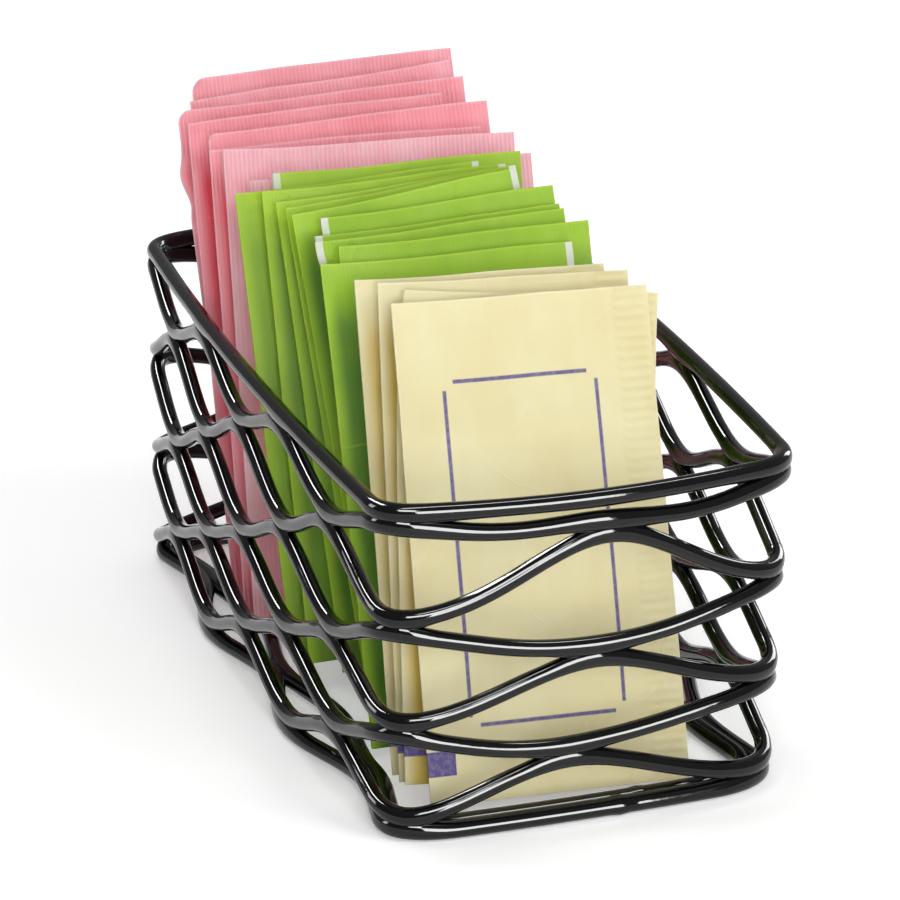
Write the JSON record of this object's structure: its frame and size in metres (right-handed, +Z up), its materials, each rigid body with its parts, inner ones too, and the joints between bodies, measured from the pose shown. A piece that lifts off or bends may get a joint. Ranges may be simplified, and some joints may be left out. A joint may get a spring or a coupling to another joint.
{
  "type": "sugar packet holder",
  "caption": "Black coated wire basket for table sweeteners, high at the back, holding three rows of leaning paper packets in yellow, green and pink that lift out upwards.",
  "frame": {"origin": "middle of the basket's footprint, on the table", "axes": "+Z up, +Y the high back of the basket and its longest way, +X its right side"},
  "size_m": [0.0658, 0.1242, 0.0777],
  "materials": {
    "coated_wire": "glossy black dipped coating over round steel wire",
    "yellow_paper": "matt pale yellow packet paper with fine crimp ribs",
    "green_paper": "satin yellow-green packet paper with white end strips",
    "pink_paper": "matt rose packet paper with fine crimp ribs"
  },
  "bodies": {
    "basket": {"rim_wire": "coated_wire", "wave_wire_1": "coated_wire", "wave_wire_2": "coated_wire", "wave_wire_3": "coated_wire", "wave_wire_4": "coated_wire", "wave_wire_5": "coated_wire", "wave_wire_6": "coated_wire", "base_wire": "coated_wire", "floor_wire": "coated_wire"},
    "yellow_packet_1_body": {"yellow_packet_1": "yellow_paper"},
    "yellow_packet_2_body": {"yellow_packet_2": "yellow_paper"},
    "yellow_packet_3_body": {"yellow_packet_3": "yellow_paper"},
    "yellow_packet_4_body": {"yellow_packet_4": "yellow_paper"},
    "green_packet_1_body": {"green_packet_1": "green_paper"},
    "green_packet_2_body": {"green_packet_2": "green_paper"},
    "green_packet_3_body": {"green_packet_3": "green_paper"},
    "green_packet_4_body": {"green_packet_4": "green_paper"},
    "green_packet_5_body": {"green_packet_5": "green_paper"},
    "green_packet_6_body": {"green_packet_6": "green_paper"},
    "green_packet_7_body": {"green_packet_7": "green_paper"},
    "green_packet_8_body": {"green_packet_8": "green_paper"},
    "green_packet_9_body": {"green_packet_9": "green_paper"},
    "green_packet_10_body": {"green_packet_10": "green_paper"},
    "green_packet_11_body": {"green_packet_11": "green_paper"},
    "pink_packet_1_body": {"pink_packet_1": "pink_paper"},
    "pink_packet_2_body": {"pink_packet_2": "pink_paper"},
    "pink_packet_3_body": {"pink_packet_3": "pink_paper"},
    "pink_packet_4_body": {"pink_packet_4": "pink_paper"},
    "pink_packet_5_body": {"pink_packet_5": "pink_paper"},
    "pink_packet_6_body": {"pink_packet_6": "pink_paper"},
    "pink_packet_7_body": {"pink_packet_7": "pink_paper"},
    "pink_packet_8_body": {"pink_packet_8": "pink_paper"}
  },
  "joints": [
    {"name": "lift_yellow_packet_1", "type": "slide", "parent": "basket", "child": "yellow_packet_1_body", "axis": [0.0517, 0.3075, 0.9502], "range_m": [0, 0.06]},
    {"name": "lift_yellow_packet_2", "type": "slide", "parent": "basket", "child": "yellow_packet_2_body", "axis": [0.0517, 0.3075, 0.9502], "range_m": [0, 0.06]},
    {"name": "lift_yellow_packet_3", "type": "slide", "parent": "basket", "child": "yellow_packet_3_body", "axis": [0.0517, 0.3075, 0.9502], "range_m": [0, 0.06]},
    {"name": "lift_yellow_packet_4", "type": "slide", "parent": "basket", "child": "yellow_packet_4_body", "axis": [0.0517, 0.3075, 0.9502], "range_m": [0, 0.06]},
    {"name": "lift_green_packet_1", "type": "slide", "parent": "basket", "child": "green_packet_1_body", "axis": [0.0175, 0.2621, 0.9649], "range_m": [0, 0.06]},
    {"name": "lift_green_packet_2", "type": "slide", "parent": "basket", "child": "green_packet_2_body", "axis": [-0.0017, 0.2622, 0.965], "range_m": [0, 0.06]},
    {"name": "lift_green_packet_3", "type": "slide", "parent": "basket", "child": "green_packet_3_body", "axis": [-0.0279, 0.2621, 0.9646], "range_m": [0, 0.06]},
    {"name": "lift_green_packet_4", "type": "slide", "parent": "basket", "child": "green_packet_4_body", "axis": [-0.0279, 0.2621, 0.9646], "range_m": [0, 0.06]},
    {"name": "lift_green_packet_5", "type": "slide", "parent": "basket", "child": "green_packet_5_body", "axis": [-0.0436, 0.2619, 0.9641], "range_m": [0, 0.06]},
    {"name": "lift_green_packet_6", "type": "slide", "parent": "basket", "child": "green_packet_6_body", "axis": [-0.1045, 0.2608, 0.9597], "range_m": [0, 0.06]},
    {"name": "lift_green_packet_7", "type": "slide", "parent": "basket", "child": "green_packet_7_body", "axis": [-0.0767, 0.2614, 0.9622], "range_m": [0, 0.06]},
    {"name": "lift_green_packet_8", "type": "slide", "parent": "basket", "child": "green_packet_8_body", "axis": [-0.0454, 0.2619, 0.964], "range_m": [0, 0.06]},
    {"name": "lift_green_packet_9", "type": "slide", "parent": "basket", "child": "green_packet_9_body", "axis": [-0.0087, 0.2622, 0.965], "range_m": [0, 0.06]},
    {"name": "lift_green_packet_10", "type": "slide", "parent": "basket", "child": "green_packet_10_body", "axis": [-0.0279, 0.2621, 0.9646], "range_m": [0, 0.06]},
    {"name": "lift_green_packet_11", "type": "slide", "parent": "basket", "child": "green_packet_11_body", "axis": [0.0122, 0.2622, 0.9649], "range_m": [0, 0.06]},
    {"name": "lift_pink_packet_1", "type": "slide", "parent": "basket", "child": "pink_packet_1_body", "axis": [0.0017, 0.2622, 0.965], "range_m": [0, 0.06]},
    {"name": "lift_pink_packet_2", "type": "slide", "parent": "basket", "child": "pink_packet_2_body", "axis": [0.0332, 0.262, 0.9645], "range_m": [0, 0.06]},
    {"name": "lift_pink_packet_3", "type": "slide", "parent": "basket", "child": "pink_packet_3_body", "axis": [0.0017, 0.2622, 0.965], "range_m": [0, 0.06]},
    {"name": "lift_pink_packet_4", "type": "slide", "parent": "basket", "child": "pink_packet_4_body", "axis": [-0.0227, 0.2621, 0.9648], "range_m": [0, 0.06]},
    {"name": "lift_pink_packet_5", "type": "slide", "parent": "basket", "child": "pink_packet_5_body", "axis": [-0.0332, 0.262, 0.9645], "range_m": [0, 0.06]},
    {"name": "lift_pink_packet_6", "type": "slide", "parent": "basket", "child": "pink_packet_6_body", "axis": [-0.0279, 0.2621, 0.9646], "range_m": [0, 0.06]},
    {"name": "lift_pink_packet_7", "type": "slide", "parent": "basket", "child": "pink_packet_7_body", "axis": [-0.075, 0.2615, 0.9623], "range_m": [0, 0.06]},
    {"name": "lift_pink_packet_8", "type": "slide", "parent": "basket", "child": "pink_packet_8_body", "axis": [-0.0262, 0.2621, 0.9647], "range_m": [0, 0.06]}
  ]
}
